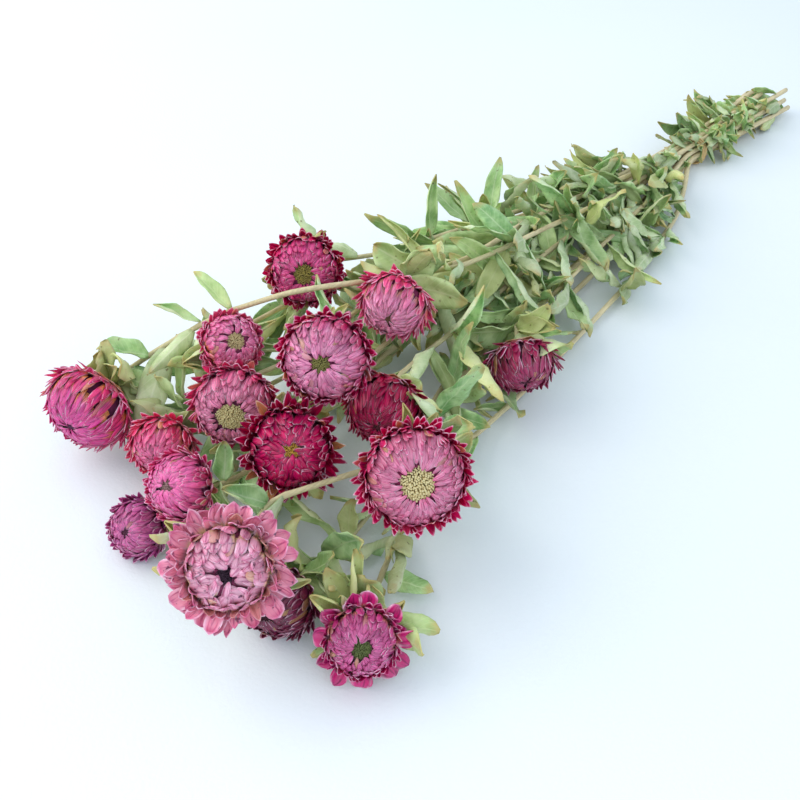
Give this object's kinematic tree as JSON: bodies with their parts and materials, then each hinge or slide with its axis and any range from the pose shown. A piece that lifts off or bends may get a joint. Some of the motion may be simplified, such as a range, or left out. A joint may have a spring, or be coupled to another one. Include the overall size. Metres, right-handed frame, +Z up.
{
  "type": "dried strawflower bunch",
  "caption": "Bunch of dried pink and crimson strawflowers with waved sage leaves, held by a thin band round the neck and lying on its side.",
  "frame": {"origin": "middle of the bunch's bounding box seen from above, at the height of the surface that it lies on", "axes": "+X runs along the bunch from the flower heads at -X to the cut stem ends at +X, +Y runs across the bunch to the side of the heads that lie furthest from the viewer in the picture, +Z is up from the surface"},
  "size_m": [0.5814, 0.1952, 0.0887],
  "materials": {
    "bracts_01": "dry papery bracts, satin",
    "bracts_02": "dry papery bracts, satin",
    "bracts_03": "dry papery bracts, satin",
    "bracts_04": "dry papery bracts, satin",
    "bracts_05": "dry papery bracts, satin",
    "bracts_06": "dry papery bracts, satin",
    "bracts_07": "dry papery bracts, satin",
    "bracts_08": "dry papery bracts, satin",
    "bracts_09": "dry papery bracts, satin",
    "bracts_10": "dry papery bracts, satin",
    "bracts_11": "dry papery bracts, satin",
    "bracts_12": "dry papery bracts, satin",
    "bracts_13": "dry papery bracts, satin",
    "bracts_14": "dry papery bracts, satin",
    "bracts_15": "dry papery bracts, satin",
    "bracts_16": "dry papery bracts, satin",
    "florets_01": "matte tufted florets",
    "florets_02": "matte tufted florets",
    "florets_03": "matte tufted florets",
    "florets_04": "matte tufted florets",
    "florets_05": "matte tufted florets",
    "florets_06": "matte tufted florets",
    "florets_07": "matte tufted florets",
    "florets_08": "matte tufted florets",
    "florets_09": "matte tufted florets",
    "florets_10": "matte tufted florets",
    "florets_11": "matte tufted florets",
    "florets_12": "matte tufted florets",
    "florets_13": "matte tufted florets",
    "florets_14": "matte tufted florets",
    "florets_15": "matte tufted florets",
    "florets_16": "matte tufted florets",
    "foliage_01": "matte dried leaf and stalk",
    "foliage_02": "matte dried leaf and stalk",
    "foliage_03": "matte dried leaf and stalk",
    "foliage_04": "matte dried leaf and stalk",
    "foliage_05": "matte dried leaf and stalk",
    "foliage_06": "matte dried leaf and stalk",
    "foliage_07": "matte dried leaf and stalk",
    "foliage_08": "matte dried leaf and stalk",
    "foliage_09": "matte dried leaf and stalk",
    "foliage_10": "matte dried leaf and stalk",
    "foliage_11": "matte dried leaf and stalk",
    "foliage_12": "matte dried leaf and stalk",
    "foliage_13": "matte dried leaf and stalk",
    "foliage_14": "matte dried leaf and stalk",
    "foliage_15": "matte dried leaf and stalk",
    "foliage_16": "matte dried leaf and stalk",
    "rubber_band": "matte natural rubber"
  },
  "bodies": {
    "root": {"bloom_01": "bracts_01", "bloom_02": "bracts_02", "bloom_03": "bracts_03", "bloom_04": "bracts_04", "bloom_05": "bracts_05", "bloom_06": "bracts_06", "bloom_07": "bracts_07", "bloom_08": "bracts_08", "bloom_09": "bracts_09", "bloom_10": "bracts_10", "bloom_11": "bracts_11", "bloom_12": "bracts_12", "bloom_13": "bracts_13", "bloom_14": "bracts_14", "bloom_15": "bracts_15", "bloom_16": "bracts_16", "disc_01": "florets_01", "disc_02": "florets_02", "disc_03": "florets_03", "disc_04": "florets_04", "disc_05": "florets_05", "disc_06": "florets_06", "disc_07": "florets_07", "disc_08": "florets_08", "disc_09": "florets_09", "disc_10": "florets_10", "disc_11": "florets_11", "disc_12": "florets_12", "disc_13": "florets_13", "disc_14": "florets_14", "disc_15": "florets_15", "disc_16": "florets_16", "stem_01": "foliage_01", "stem_02": "foliage_02", "stem_03": "foliage_03", "stem_04": "foliage_04", "stem_05": "foliage_05", "stem_06": "foliage_06", "stem_07": "foliage_07", "stem_08": "foliage_08", "stem_09": "foliage_09", "stem_10": "foliage_10", "stem_11": "foliage_11", "stem_12": "foliage_12", "stem_13": "foliage_13", "stem_14": "foliage_14", "stem_15": "foliage_15", "stem_16": "foliage_16", "tie": "rubber_band"}
  },
  "joints": []
}
